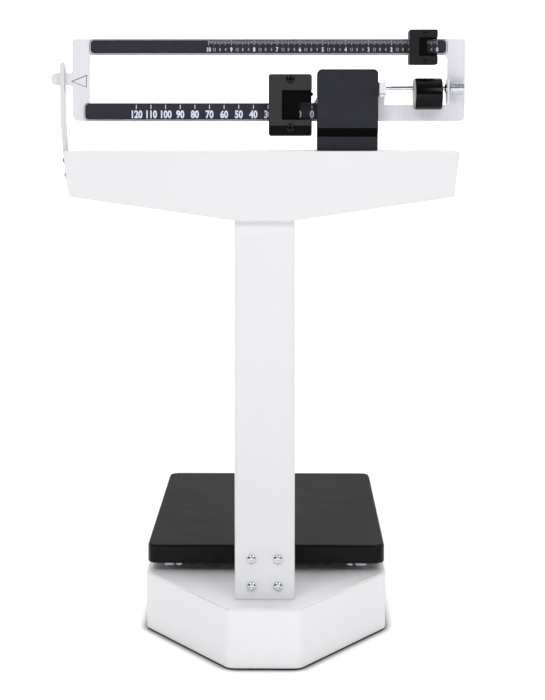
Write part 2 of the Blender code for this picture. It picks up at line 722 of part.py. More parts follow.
def build_head():
    outer = rounded(head_corners(), [3, 0, 0, 3, 2.5, 2.5], 3)
    inner = inset(head_corners(), HEAD_SHEET)
    skin = plate_mesh(outer, "XZ", HEAD_FRONT, HEAD_REAR)
    hollow = plate_mesh(inner, "XZ", HEAD_FRONT + HEAD_SHEET, HEAD_REAR + 5)
    half = COLUMN_HALF_WIDTH + GAP
    neck = box_mesh((-half, COLUMN_FRONT - GAP, HEAD_BOTTOM - 5), (half, COLUMN_REAR + GAP, HEAD_BOTTOM + 6))
    link_slot = box_mesh((LOAD_X - 5, BEAM_Y - 17, HEAD_TOP - 5), (LOAD_X + 5, BEAM_Y + 17, HEAD_TOP + 5))
    taps = [
        rod_mesh((loop_wall(z) - 6, BEAM_Y, z), (loop_wall(z) + 6, BEAM_Y, z), 2.0, 12) for z in LOOP_SCREW_Z
    ]
    piece("head_shell", skin, "white_paint", cuts=[hollow, neck, link_slot, *taps])

    lid = plate_mesh(inset(head_corners(), HEAD_SHEET + 0.4), "XZ", HEAD_REAR - 3.5, HEAD_REAR - 2.0)
    screw_z = COLUMN_TOP + GAP + 14
    holes = [rod_mesh((x, HEAD_REAR - 8, screw_z), (x, HEAD_REAR + 3, screw_z), 2.1, 12) for x in COVER_SCREWS_X]
    piece("head_back_cover", lid, "white_paint", cuts=holes)
    mesh = screw_mesh(3.8, 2.2, 1.6, 8.0, 14)
    for side, x in zip(("left", "right"), COVER_SCREWS_X, strict=True):
        at = (x, HEAD_REAR - 2.0 + GAP, screw_z)
        screw(f"back_cover_screw_{side}", mesh, at, FACE_REAR, "chrome")
    for level, z in zip(("lower", "upper"), LOOP_SCREW_Z, strict=True):
        at = (loop_wall(z) - GAP * 2 - LOOP_THICK - 0.3, BEAM_Y, z)
        screw(f"trig_loop_screw_{level}", mesh, at, FACE_LEFT, "chrome")


def build_trig_loop():
    """The strip that limits the pointer's swing: bolted to the left end of the head, slotted at the top."""
    foot = loop_wall(LOOP_FOOT_Z) - GAP
    lip = loop_wall(HEAD_TOP) - GAP
    inner_x = -219.0
    outline = [
        (foot, LOOP_FOOT_Z),
        (lip, HEAD_TOP),
        (inner_x, LOOP_BEND_Z),
        (inner_x, LOOP_TOP - 2),
        (inner_x - 2, LOOP_TOP),
        (inner_x - LOOP_THICK + 2, LOOP_TOP),
        (inner_x - LOOP_THICK, LOOP_TOP - 2),
        (inner_x - LOOP_THICK, LOOP_BEND_Z),
        (lip - LOOP_THICK, HEAD_TOP),
        (foot - LOOP_THICK, LOOP_FOOT_Z),
    ]
    strip = plate_mesh(outline, "XZ", BEAM_Y - LOOP_HALF_DEPTH, BEAM_Y + LOOP_HALF_DEPTH)
    slot_corners = [
        (BEAM_Y - LOOP_SLOT_HALF, LOOP_SLOT_LOW),
        (BEAM_Y + LOOP_SLOT_HALF, LOOP_SLOT_LOW),
        (BEAM_Y + LOOP_SLOT_HALF, LOOP_SLOT_HIGH),
        (BEAM_Y - LOOP_SLOT_HALF, LOOP_SLOT_HIGH),
    ]
    slot = plate_mesh(rounded(slot_corners, 2.0, 3), "YZ", inner_x - 15, inner_x + 10)
    holes = [rod_mesh((-240, BEAM_Y, z), (-200, BEAM_Y, z), 2.1, 12) for z in LOOP_SCREW_Z]
    piece("trig_loop", strip, "off_white", bevel=0.8, cuts=[slot, *holes])


def build_fulcrum():
    """The stand on top of the head, its two grooved bearings and the cover around them."""
    seat = HEAD_TOP + GAP
    bearing_low = FULCRUM_Z - 6
    apart, half_thick = 12.7, 2.5
    foot = box_mesh((FULCRUM_X - 20, BEAM_Y - 15.5, seat), (FULCRUM_X + 16, BEAM_Y + 15.5, seat + 4))
    cheeks = [
        box_mesh((FULCRUM_X - 9, y - half_thick, seat + 3), (FULCRUM_X + 9, y + half_thick, bearing_low - GAP))
        for y in (BEAM_Y - apart, BEAM_Y + apart)
    ]
    piece("fulcrum_stand", foot, "cast_steel", bevel=1.0, segments=1, joins=cheeks)
    for side, y in (("front", BEAM_Y - apart), ("rear", BEAM_Y + apart)):
        low = (FULCRUM_X - 6, y - half_thick, bearing_low)
        block = box_mesh(low, (FULCRUM_X + 6, y + half_thick, FULCRUM_Z + 2))
        groove = groove_mesh((FULCRUM_X, FULCRUM_Z), "XZ", y - 5, y + 5)
        piece(f"fulcrum_bearing_{side}", block, "steel", cuts=[groove])

    left, right, top = 57.1, 122.7, 650.4
    front, lower_front, rear, wall = 34.0, 40.0, 82.0, 2.0
    outline = rounded(
        [(left, seat), (right, seat), (right, top), (left, top)],
        [0, 0, 4.8, 4.8],
        4,
    )
    shape = plate_mesh(outline, "XZ", front, rear)
    undercut = plate_mesh(
        [(front - 5, seat - 5), (lower_front, seat - 5), (lower_front, 577.5), (front, 587.0), (front - 5, 587.0)],
        "YZ",
        left - 5,
        right + 5,
    )
    hollow_profile = [
        (lower_front + wall, seat - 5),
        (rear - wall, seat - 5),
        (rear - wall, top - wall),
        (front + wall, top - wall),
        (front + wall, 586.0),
        (lower_front + wall, 576.5),
    ]
    hollow = plate_mesh(hollow_profile, "YZ", left + wall, right - wall)
    beam_pass = box_mesh((left - 5, BEAM_Y - 11, seat - 5), (right + 5, BEAM_Y + 11, 644.0))
    piece("pivot_cover", shape, "charcoal", cuts=[undercut, hollow, beam_pass], bevel=0.8)


# ---------------------------------------------------------------- beam


def beam_outline():
    """Outer outline of the beam plate, counter-clockwise, with the pointer arm on its left edge."""
    low, high = POINTER_Z - POINTER_HALF, POINTER_Z + POINTER_HALF
    corners = [
        (BEAM_LEFT, BEAM_BOTTOM),
        (BEAM_RIGHT, BEAM_BOTTOM),
        (BEAM_RIGHT, BEAM_TOP),
        (BEAM_LEFT, BEAM_TOP),
        (BEAM_LEFT, high),
        (POINTER_TIP, high),
        (POINTER_TIP, low),
        (BEAM_LEFT, low),
    ]
    return rounded(corners, [6, 5, 3, 3, 3, 5, 5, 3], 3)


def beam_window():
    """The opening between the two bars, counter-clockwise; the web for the pivots stands up into it."""
    web_top, notch = 641.0, FULCRUM_Z - 7.6
    flank = [
        (52.0 + 6.0 * math.sin(turn), LOWER_BAR_TOP + 18.0 * (1 - math.cos(turn)))
        for turn in (0.0, 0.4, 0.8, 1.2, math.pi / 2)
    ]
    return [
        (-191.4, LOWER_BAR_TOP),
        *flank,
        (58.0, web_top),
        (104.0, web_top),
        (106.0, notch),
        (LOAD_X - 4.3, notch),
        (LOAD_X + 4.3, notch),
        (123.5, notch),
        (123.5, 636.3),
        (131.0, 636.3),
        (131.0, 612.1),
        (197.6, 612.1),
        (199.2, 613.6),
        (199.2, UPPER_BAR_BOTTOM - 3),
        (196.2, UPPER_BAR_BOTTOM),
        (-191.4, UPPER_BAR_BOTTOM),
    ]


def knife_hole(x, edge, rise):
    """The seat of a pivot in the beam plate, a little larger than the pivot itself."""
    slack = 0.7 if rise > 0 else -0.7
    tip = (x, edge - slack)
    return wedge_mesh(tip, 5.0, rise + slack * 1.5, "XZ", BEAM_Y - 8, BEAM_Y + 8)


def notched_strip(left, right, low, high, zero, step, steps):
    """A graduated bar: a plate with rounded ends and a notch in its top edge at each main graduation."""
    top = []
    for i in range(steps + 1):
        x = zero - i * step
        top += [(x + 0.7, high), (x, high - 0.9), (x - 0.7, high)]
    ends = rounded([(left, high), (left, low), (right, low), (right, high)], 3.5, 3)
    outline = [*[p for p in top if left + 4 < p[0] < right - 4], *ends]
    return plate_mesh(outline, "XZ", STRIP_FRONT, STRIP_FRONT + STRIP)


def build_beam(beam):
    front, rear = BEAM_Y - PLATE / 2, BEAM_Y + PLATE / 2
    body = plate_mesh(beam_outline(), "XZ", front, rear)
    window = plate_mesh(beam_window(), "XZ", front - 3, rear + 3)
    lug = box_mesh((124.0, BALANCE_Y - 7, 620.8), (131.0, front + 1, 636.3))
    ear = box_mesh((197.2, BALANCE_Y - 7, 613.0), (199.6, front + 1, 640.0))
    bores = [
        rod_mesh((126.0, BALANCE_Y, BALANCE_Z), (140.0, BALANCE_Y, BALANCE_Z), 2.9, 16),
        rod_mesh((190.0, BALANCE_Y, BALANCE_Z), (205.0, BALANCE_Y, BALANCE_Z), 2.9, 16),
    ]
    fulcrum_seat = knife_hole(FULCRUM_X, FULCRUM_Z, 8.0)
    joins, cuts = [lug, ear], [fulcrum_seat, *bores]
    frame = piece("beam_frame", body, "aluminium", beam, joins=joins, cuts=cuts)
    cut_first(frame, window)

    fulcrum = wedge_mesh((FULCRUM_X, FULCRUM_Z), 4.0, 8.0, "XZ", BEAM_Y - 16, BEAM_Y + 16)
    piece("fulcrum_knife", fulcrum, "steel", beam)
    load = wedge_mesh((LOAD_X, FULCRUM_Z), 4.0, -7.0, "XZ", BEAM_Y - 7, BEAM_Y + 7)
    piece("load_knife", load, "steel", beam)

    upper = notched_strip(-190.0, 197.4, 668.2, 682.2, UPPER_ZERO, UPPER_STEP, UPPER_STEPS)
    piece("upper_scale_bar", upper, "black_paint", beam)
    lower = notched_strip(-196.5, 70.0, 595.9, 613.2, LOWER_ZERO, LOWER_STEP, LOWER_STEPS)
    piece("lower_scale_bar", lower, "black_paint", beam)


def cut_first(obj, mesh):
    """Add a cut that comes before the other Booleans of a piece."""
    helper = add_object(f"{obj.name}_window", mesh, helper=True)
    change = obj.modifiers.new("window", "BOOLEAN")
    change.operation = "DIFFERENCE"
    change.solver = "EXACT"
    change.object = helper
    obj.modifiers.move(len(obj.modifiers) - 1, 0)


def build_balance(beam):
    """The balance gear: a screw turned by its knob, which moves the hanging weight along the beam."""
    y, z = BALANCE_Y, BALANCE_Z
    turning = make_empty("balance_screw_axis", (131.0, y, z), beam)
    shaft = rod_mesh((126.6, y, z), (205.0, y, z), 2.4, 16)
    collar = rod_mesh((194.8, y, z), (196.9, y, z), 3.2, 20, 6.4)
    piece("balance_screw", shaft, "chrome", turning, joins=[collar])
    knob = rod_mesh((199.9, y, z), (215.6, y, z), 7.5, 28)
    socket = rod_mesh((195.0, y, z), (206.0, y, z), 2.7, 16)
    piece("balance_knob", knob, "steel", turning, bevel=0.8, cuts=[socket])

    sliding = make_empty("balance_weight_axis", (176.5, y, z), beam)
    middle = z - BALANCE_DROP
    weight = rod_mesh((161.2, y, middle), (191.8, y, middle), WEIGHT_RADIUS, 32)
    bore = rod_mesh((150.0, y, z), (210.0, y, z), 2.4 + GAP, 16)
    piece("balance_weight", weight, "black_gloss", sliding, bevel=1.4, cuts=[bore])


def poise_outline(left, right, low, high, radius=2.5):
    return rounded([(left, low), (right, low), (right, high), (left, high)], radius, 3)


LARGE_LEFT, LARGE_RIGHT, LARGE_LOW, LARGE_HIGH = 4.3, 51.1, 578.2, 645.2
SMALL_LEFT, SMALL_RIGHT, SMALL_LOW, SMALL_HIGH = 156.6, 187.3, 655.4, 693.4


def build_large_poise(beam):
    left, right, low, high = LARGE_LEFT, LARGE_RIGHT, LARGE_LOW, LARGE_HIGH
    poise = make_empty("large_poise_place", (right, BEAM_Y, LOWER_BAR_TOP), beam)
    outline = poise_outline(left, right, low, high)
    front, back = 37.0, 43.0
    screw_x = 27.8
    screw_z = (586.8, 639.6)
    holes = [rod_mesh((screw_x, 30, z), (screw_x, 62, z), 2.3, 12) for z in screw_z]
    face = plate_mesh(outline, "XZ", front, back)
    window = box_mesh((18.6, front - 5, 595.8), (right + 5, back + 5, 628.0))
    undercut = plate_mesh(
        [(front - 5, low - 5), (front + 3.6, low - 5), (front + 3.6, low + 2.4), (front, 589.6), (front - 5, 589.6)],
        "YZ",
        left - 5,
        right + 5,
    )
    front_holes = [rod_mesh((screw_x, 30, z), (screw_x, 62, z), 2.3, 12) for z in screw_z]
    piece("large_poise_front", face, "charcoal", poise, bevel=0.6, cuts=[undercut, window, *front_holes])

    near, far = back + GAP, 66.0
    top = box_mesh((left + 0.5, near, LOWER_BAR_TOP + GAP + 0.3), (right - 0.5, far, high - 1.5))
    wall = box_mesh((left + 0.5, near, 590.0), (38.0, STRIP_FRONT - 0.8, LOWER_BAR_TOP + 4))
    bottom = box_mesh((left + 0.5, near, low + 1.0), (right - 0.5, far, BEAM_BOTTOM - 1.2))
    slot = box_mesh((22.0, BEAM_Y - 2.2, LOWER_BAR_TOP - 4), (right + 3, BEAM_Y + 2.2, 629.5))
    piece("large_poise_core", top, "black_paint", poise, joins=[wall, bottom], cuts=[slot, *holes])

    rear = plate_mesh(outline, "XZ", far + GAP, far + GAP + 4)
    piece("large_poise_back", rear, "charcoal", poise, bevel=0.6)
    mesh = screw_mesh(4.5, 2.6, 2.0, 22.0, 16)
    for level, z in zip(("lower", "upper"), screw_z, strict=True):
        screw(f"large_poise_screw_{level}", mesh, (screw_x, front - GAP, z), FACE_FRONT, "black_gloss", poise)

    pawl = make_empty("large_pawl_pin", (25.0, BEAM_Y, 623.5), poise)
    outline = [
        (23.0, 621.5),
        (46.0, 621.0),
        (48.0, LOWER_BAR_TOP + GAP),
        (49.6, LOWER_BAR_TOP + GAP),
        (50.6, 621.0),
        (52.4, 622.2),
        (52.9, 623.8),
        (52.4, 625.4),
        (50.6, 626.0),
        (23.0, 625.5),
    ]
    body = plate_mesh(outline, "XZ", BEAM_Y - 1.7, BEAM_Y + 1.7)
    piece("large_poise_pawl", body, "black_gloss", pawl)


def build_small_poise(beam):
    left, right, low, high = SMALL_LEFT, SMALL_RIGHT, SMALL_LOW, SMALL_HIGH
    poise = make_empty("small_poise_place", (right, BEAM_Y, BEAM_TOP), beam)
    outline = poise_outline(left, right, low, high, 1.8)
    front, back = 43.0, 46.5
    screw_x, screw_z = 173.5, (659.6, 689.8)
    holes = [rod_mesh((screw_x, 36, z), (screw_x, 60, z), 1.5, 12) for z in screw_z]
    face = plate_mesh(outline, "XZ", front, back)
    window = box_mesh((167.2, front - 5, 664.8), (right + 5, back + 5, 685.0))
    front_holes = [rod_mesh((screw_x, 36, z), (screw_x, 60, z), 1.5, 12) for z in screw_z]
    piece("small_poise_front", face, "black_paint", poise, bevel=0.6, cuts=[window, *front_holes])

    near, far = back + GAP, 61.5
    top = box_mesh((left + 0.4, near, BEAM_TOP + GAP + 0.3), (right - 0.4, far, high - 0.6))
    wall = box_mesh((left + 0.4, near, 660.0), (176.2, STRIP_FRONT - 0.8, BEAM_TOP + 3))
    bottom = box_mesh((left + 0.4, near, low + 0.6), (right - 0.4, far, UPPER_BAR_BOTTOM - 0.8))
    slot = box_mesh((167.5, BEAM_Y - 2.2, BEAM_TOP - 3), (right + 3, BEAM_Y + 2.2, 690.4))
    lips = [
        box_mesh((left + 1.0, near, z_low), (right - 0.4, STRIP_FRONT - 1.0, z_high))
        for z_low, z_high in ((660.6, 667.8), (682.6, BEAM_TOP + 2.0))
    ]
    piece("small_poise_core", top, "black_paint", poise, joins=[wall, bottom, *lips], cuts=[slot, *holes])

    rear = plate_mesh(outline, "XZ", far + GAP, far + GAP + 3)
    piece("small_poise_back", rear, "black_paint", poise, bevel=0.6)
    mesh = screw_mesh(2.6, 1.4, 1.2, 12.0, 12)
    for level, z in zip(("lower", "upper"), screw_z, strict=True):
        screw(f"small_poise_screw_{level}", mesh, (screw_x, front - GAP, z), FACE_FRONT, "black_paint", poise)

    pawl = make_empty("small_pawl_pin", (170.0, BEAM_Y, 687.2), poise)
    outline = [
        (168.6, 686.0),
        (184.0, 686.0),
        (185.4, BEAM_TOP + GAP),
        (186.6, BEAM_TOP + GAP),
        (187.6, 686.0),
        (188.6, 687.2),
        (187.6, 688.6),
        (168.6, 688.6),
    ]
    body = plate_mesh(outline, "XZ", BEAM_Y - 1.7, BEAM_Y + 1.7)
    piece("small_poise_pawl", body, "black_gloss", pawl)


def main():
    build_base()
    build_rails()
    build_long_lever()
    build_short_lever()
    build_links()
    build_shelf()
    build_platform()
    build_column()
    build_head()
    build_trig_loop()
    build_fulcrum()
    beam = make_empty("beam_fulcrum", (FULCRUM_X, BEAM_Y, FULCRUM_Z), ORIGIN)
    build_beam(beam)
    build_balance(beam)
    build_large_poise(beam)
    build_small_poise(beam)


main()
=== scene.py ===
"""Looks of the clinical beam scale: finishes, graduations, fine hardware, light and camera.

Places are named in the part's design frame, in millimetres: X from the column's centre line, Y from the
front of the base and Z from the floor. at() turns them into the row frame, in metres.
"""

import json
import math

import bmesh
import bpy
from mathutils import Matrix, Vector


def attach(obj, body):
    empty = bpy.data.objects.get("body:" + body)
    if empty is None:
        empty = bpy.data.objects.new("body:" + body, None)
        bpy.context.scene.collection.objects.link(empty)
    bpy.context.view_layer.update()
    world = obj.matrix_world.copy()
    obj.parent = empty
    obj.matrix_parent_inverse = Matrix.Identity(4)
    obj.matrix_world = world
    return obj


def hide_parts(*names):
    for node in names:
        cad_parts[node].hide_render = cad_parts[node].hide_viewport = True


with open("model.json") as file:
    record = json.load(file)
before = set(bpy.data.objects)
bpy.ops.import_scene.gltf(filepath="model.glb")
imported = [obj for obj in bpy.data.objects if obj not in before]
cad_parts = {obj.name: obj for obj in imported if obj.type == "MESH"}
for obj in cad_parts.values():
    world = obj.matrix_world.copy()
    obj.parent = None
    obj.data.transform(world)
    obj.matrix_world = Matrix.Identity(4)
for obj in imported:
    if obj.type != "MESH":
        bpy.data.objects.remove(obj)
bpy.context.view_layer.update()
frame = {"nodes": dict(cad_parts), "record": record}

MM = 0.001
ORIGIN = Vector((7.75, -248.5, 0.0))  # the design frame's zero, seen from the row frame

PLATE_FRONT = 56.0
LUG_FRONT = 35.0
STRIP_FRONT = 53.2
LOWER_ZERO, LOWER_STEP, LOWER_COUNT = 51.5, 16.0, 13
LOWER_BAR_LOW, LOWER_BAR_HIGH = 595.9, 613.2
UPPER_ZERO, UPPER_STEP, UPPER_COUNT = 187.6, 24.9, 11
UPPER_BAR_LOW, UPPER_BAR_HIGH = 668.2, 682.2
OUNCES = 16
LOWER_BAR_LEFT, UPPER_BAR_LEFT, UPPER_BAR_RIGHT = -198.1, -191.6, 199.0  # the outlined ends of the bars
SCREW_AXIS_Y, SCREW_AXIS_Z = 42.0, 630.0  # the balance screw's axis


def at(x, y, z):
    """A point of the design frame, in the row frame."""
    return (Vector((x, y, z)) + ORIGIN) * MM


# ---------------------------------------------------------------- finishes


class Finish:
    """A procedural material, built up from noise on the object's own coordinates."""

    def __init__(self, name, colour, roughness, metallic=0.0, coat=0.0, specular=0.5):
        self.material = bpy.data.materials.new(name)
        self.material.use_nodes = True
        self.tree = self.material.node_tree
        self.shader = self.tree.nodes["Principled BSDF"]
        self.colour = colour
        self.roughness = roughness
        self.shader.inputs["Base Color"].default_value = (*colour, 1.0)
        self.shader.inputs["Roughness"].default_value = roughness
        self.shader.inputs["Metallic"].default_value = metallic
        self.shader.inputs["Specular IOR Level"].default_value = specular
        self.shader.inputs["Coat Weight"].default_value = coat
        self.shader.inputs["Coat Roughness"].default_value = 0.12
        self.place = self.tree.nodes.new("ShaderNodeTexCoord").outputs["Object"]
        self.normal = None

    def noise(self, scale, stretch=(1.0, 1.0, 1.0), detail=3.0):
        """Noise with features about 1/scale metres across, drawn out along an axis by a small stretch."""
        mapping = self.tree.nodes.new("ShaderNodeMapping")
        mapping.inputs["Scale"].default_value = stretch
        node = self.tree.nodes.new("ShaderNodeTexNoise")
        node.inputs["Scale"].default_value = scale
        node.inputs["Detail"].default_value = detail
        self.tree.links.new(self.place, mapping.inputs["Vector"])
        self.tree.links.new(mapping.outputs["Vector"], node.inputs["Vector"])
        return node.outputs["Fac"]

    def tint(self, source, spread):
        """Lighten and darken the colour a little with a noise."""
        ramp = self.tree.nodes.new("ShaderNodeValToRGB")
        ramp.color_ramp.elements[0].position = 0.3
        ramp.color_ramp.elements[1].position = 0.7
        low = [max(c * (1 - spread), 0.0) for c in self.colour]
        high = [min(c * (1 + spread), 1.0) for c in self.colour]
        ramp.color_ramp.elements[0].color = (*low, 1.0)
        ramp.color_ramp.elements[1].color = (*high, 1.0)
        self.tree.links.new(source, ramp.inputs["Fac"])
        self.tree.links.new(ramp.outputs["Color"], self.shader.inputs["Base Color"])

    def polish(self, source, spread):
        """Vary the roughness with a noise."""
        span = self.tree.nodes.new("ShaderNodeMapRange")
        span.inputs["To Min"].default_value = max(self.roughness - spread, 0.02)
        span.inputs["To Max"].default_value = self.roughness + spread
        self.tree.links.new(source, span.inputs["Value"])
        self.tree.links.new(span.outputs["Result"], self.shader.inputs["Roughness"])

    def bump(self, source, depth, strength=0.5):
        """Raise a relief of so many metres, on top of any relief already there."""
        node = self.tree.nodes.new("ShaderNodeBump")
        node.inputs["Distance"].default_value = depth
        node.inputs["Strength"].default_value = strength
        self.tree.links.new(source, node.inputs["Height"])
        if self.normal:
            self.tree.links.new(self.normal, node.inputs["Normal"])
        self.normal = node.outputs["Normal"]
        self.tree.links.new(self.normal, self.shader.inputs["Normal"])


def enamel(name, colour, roughness=0.34, coat=0.35, specular=0.5):
    """Sprayed enamel: a fine orange peel and slow changes of gloss."""
    made = Finish(name, colour, roughness, coat=coat, specular=specular)
    made.bump(made.noise(900, detail=2), 0.00006, 0.25)
    made.polish(made.noise(14), 0.06)
    made.tint(made.noise(6), 0.012)
    return made.material


def brushed(name, colour, roughness, stretch, metallic=1.0, spread=0.06):
    """Metal with fine brush marks drawn out along the axis whose stretch is small."""
    made = Finish(name, colour, roughness, metallic)
    grain = made.noise(2600, stretch, 2.0)
    made.bump(grain, 0.00002, 0.25)
    made.polish(grain, 0.10)
    made.tint(made.noise(900, stretch), spread)
    return made.material


def moulded(name, colour, roughness, grain_scale=1500, depth=0.00005, specular=0.25):
    """Moulded or painted black pieces: a fine grain, with patches a little glossier than others."""
    made = Finish(name, colour, roughness, specular=specular)
    made.bump(made.noise(grain_scale, detail=2), depth, 0.35)
    made.polish(made.noise(60), 0.08)
    made.tint(made.noise(45), 0.10)
    return made.material


def cast(name, colour):
    """Cast metal left grey inside the scale."""
    made = Finish(name, colour, 0.6, 0.7)
    made.bump(made.noise(500), 0.00025, 0.6)
    made.polish(made.noise(80), 0.12)
    made.tint(made.noise(120), 0.18)
    return made.material


def rubber_mat(name):
    """The platform's mat: charcoal rubber, finely ribbed from side to side, with slow changes of tone."""
    made = Finish(name, (0.031, 0.0305, 0.031), 0.85, specular=0.12)
    made.bump(made.noise(700, (0.06, 1.0, 1.0), 2.0), 0.00025, 0.5)
    made.bump(made.noise(1800), 0.00008, 0.4)
    made.polish(made.noise(30), 0.05)
    made.tint(made.noise(420, (0.05, 1.0, 1.0)), 0.16)
    return made.material


WHITE = (0.85, 0.853, 0.868)
UPPER_WHITE = (0.735, 0.738, 0.75)  # a shade darker, because the light is stronger higher up
FINISH_OF = {
    "base_paint": enamel("base_enamel", WHITE, specular=0.3, coat=0.1),
    "column_paint": enamel("column_enamel", UPPER_WHITE, specular=0.3, coat=0.1),
    "head_paint": enamel("head_enamel", UPPER_WHITE, 0.38, 0.1, 0.3),
    "loop_paint": enamel("loop_enamel", (0.66, 0.66, 0.66), 0.42, 0.0, 0.3),
    "rubber": moulded("foot_rubber", (0.03, 0.03, 0.03), 0.85, 700, 0.0002, 0.15),
    "mat": rubber_mat("mat_rubber"),
    "platform_enamel": enamel("platform_enamel_black", (0.004, 0.004, 0.006), 0.25, 0.0, 0.11),
    "iron": cast("lever_iron", (0.20, 0.20, 0.21)),
    "steel": brushed("bright_steel", (0.56, 0.57, 0.60), 0.24, (0.04, 1.0, 1.0)),
    "chrome": brushed("chrome_plate", (0.60, 0.62, 0.66), 0.07, (1.0, 1.0, 1.0), spread=0.02),
    "beam_aluminium": brushed("beam_aluminium", (0.73, 0.735, 0.775), 0.46, (1.0, 1.0, 0.03), 0.35, 0.03),
    "scale_bar": moulded("bar_anodised", (0.022, 0.022, 0.033), 0.42, 2600, 0.00002, 0.18),
    "cover_plastic": moulded("cover_satin", (0.018, 0.018, 0.026), 0.38, specular=0.19),
    "weight": enamel("weight_gloss", (0.002, 0.002, 0.003), 0.18, 0.0, 0.13),
    "poise_plastic": moulded("poise_satin", (0.026, 0.0245, 0.026), 0.42, specular=0.24),
    # the poise cores are black, and darker and less reflective than the poise bodies: painted shade in the
    # poises' windows
    "poise_core": moulded("poise_core_painted_shade", (0.0015, 0.0015, 0.002), 0.5, specular=0.05),
    "poise_back": moulded("poise_back_black", (0.012, 0.012, 0.013), 0.4),
    "small_poise": moulded("small_poise_satin", (0.008, 0.008, 0.009), 0.44, specular=0.2),
    "black_steel": moulded("black_steel", (0.0015, 0.0015, 0.002), 0.12, 1500, 0.00001, 0.2),
}
# painted shade: a glossy black with almost no reflection, for the slanted faces that turn down
SHADE_BAND = moulded("band_painted_shade", (0.0015, 0.0015, 0.002), 0.25, 1500, 0.00002, 0.06)
slot_of = {entry["node"]: entry["material_slot"] for entry in frame["record"]["subparts"]}
body_of = {
    node: body for body, nodes in frame["record"]["behaviour"]["bodies"].items() for node in nodes
}
for node, obj in frame["nodes"].items():
    obj.data.materials.clear()
    # the small poise's core takes the same darker finish: painted shade in its window
    obj.data.materials.append(FINISH_OF["poise_core" if node == "small_poise_core" else slot_of[node]])


# ---------------------------------------------------------------- pieces


def add_piece(name, mesh, node, slot=None, material=None):
    """A new piece that moves with the body of a CAD node and takes a slot's finish."""
    obj = bpy.data.objects.new(name, mesh)
    bpy.context.scene.collection.objects.link(obj)
    slot = slot or slot_of[node]
    obj.data.materials.clear()
    obj.data.materials.append(material or FINISH_OF[slot])
    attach(obj, body_of[node])
    return obj


def turned(profile, steps, place):
    """A closed profile of (radius, height), turned about Z, then put in place by a matrix in design mm."""
    bm = bmesh.new()
    rings = []
    for radius, height in profile:
        if radius < 1e-6:
            rings.append([bm.verts.new((0, 0, height))])
            continue
        ring = []
        for i in range(steps):
            turn = 2 * math.pi * i / steps
            ring.append(bm.verts.new((radius * math.cos(turn), radius * math.sin(turn), height)))
        rings.append(ring)
    for low, high in zip(rings, rings[1:], strict=False):
        for i in range(steps):
            j = (i + 1) % steps
            corners = [low[i % len(low)], low[j % len(low)], high[j % len(high)], high[i % len(high)]]
            unique = list(dict.fromkeys(corners))
            if len(unique) > 2:
                bm.faces.new(unique)
    bmesh.ops.recalc_face_normals(bm, faces=bm.faces)
    bm.transform(place)
    return to_row(bm)


def to_row(bm, name="piece", sharp=30):
    """A bmesh in design millimetres as a smooth mesh in the row frame."""
    bm.transform(Matrix.Scale(MM, 4) @ Matrix.Translation(ORIGIN))
    mesh = bpy.data.meshes.new(name)
    bm.to_mesh(mesh)
    bm.free()
    mesh.shade_smooth()
    mesh.set_sharp_from_angle(angle=math.radians(sharp))
    return mesh


FRONT, REAR, RIGHT = (0, -1, 0), (0, 1, 0), (1, 0, 0)


def facing(axis, x, y, z):
    """A matrix that stands a turned shape, made about +Z, on a point, looking along an axis."""
    turn = Vector(axis).to_track_quat("Z", "Y").to_matrix().to_4x4()
    return Matrix.Translation((x, y, z)) @ turn


def block(bm, low, high):
    """Add a box between two corners."""
    low, high = Vector(low), Vector(high)
    made = bmesh.ops.create_cube(bm, size=1.0)["verts"]
    bmesh.ops.scale(bm, vec=high - low, verts=made)
    bmesh.ops.translate(bm, vec=(low + high) / 2, verts=made)


def cut_away(piece, tools):
    """Cut closed meshes out of a piece."""
    cutters = []
    for tool in tools:
        cutter = bpy.data.objects.new("cutter", tool)
        bpy.context.scene.collection.objects.link(cutter)
        cut = piece.modifiers.new("cut", "BOOLEAN")
        cut.operation = "DIFFERENCE"
        cut.object = cutter
        cutters.append(cutter)
    bpy.context.view_layer.update()
    graph = bpy.context.evaluated_depsgraph_get()
    mesh = bpy.data.meshes.new_from_object(piece.evaluated_get(graph))
    piece.modifiers.clear()
    piece.data = mesh
    for cutter in cutters:
        bpy.data.objects.remove(cutter, do_unlink=True)


def pan_screw(node, head_radius, head_height, shank_radius, shank_length, axis, x, y, z):
    """A fine pan-head screw with a cross recess, in place of its CAD node."""
    steps, rim = 8, 0.35
    profile = []
    for i in range(steps + 1):
        turn = math.pi / 2 * i / steps
        profile.append((head_radius * math.sin(turn), head_height * (rim + (1 - rim) * math.cos(turn))))
    profile += [(head_radius * 0.98, 0), (shank_radius, 0), (shank_radius, -shank_length), (0, -shank_length)]
    screw = add_piece(f"{node}_fine", turned(profile, 48, facing(axis, x, y, z)), node)
    arm, blade, floor = head_radius * 0.58, head_radius * 0.12, head_height * 0.42
    recess = []
    for across, along in ((arm, blade), (blade, arm)):
        bm = bmesh.new()
        block(bm, (-across, -along, floor), (across, along, head_height * 3))
        bm.transform(facing(axis, x, y, z))
        recess.append(to_row(bm))
    cut_away(screw, recess)
    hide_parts(node)


def build_screws():
    """Every visible screw except the loop's: head radius and height, shank radius and length, then its place."""
    for level, z in (("lower", 83.0), ("upper", 113.5)):
        for side, x in (("left", -14.5), ("right", 14.5)):
            pan_screw(f"column_screw_{level}_{side}", 5.2, 3.2, 2.4, 9.0, FRONT, x, 29.7, z)
    for side, x in (("left", -70.0), ("right", 70.0)):
        pan_screw(f"back_cover_screw_{side}", 3.8, 2.2, 1.6, 8.0, REAR, x, 93.3, 517.0)
    for level, z in (("lower", 586.8), ("upper", 639.6)):
        pan_screw(f"large_poise_screw_{level}", 4.5, 2.6, 2.0, 22.0, FRONT, 27.8, 36.7, z)
    for level, z in (("lower", 659.6), ("upper", 689.8)):
        pan_screw(f"small_poise_screw_{level}", 2.6, 1.4, 1.2, 12.0, FRONT, 173.5, 42.7, z)


END_FACE = brushed("weight_end_face", (0.34, 0.32, 0.29), 0.5, (1.0, 1.0, 1.0), 0.3)


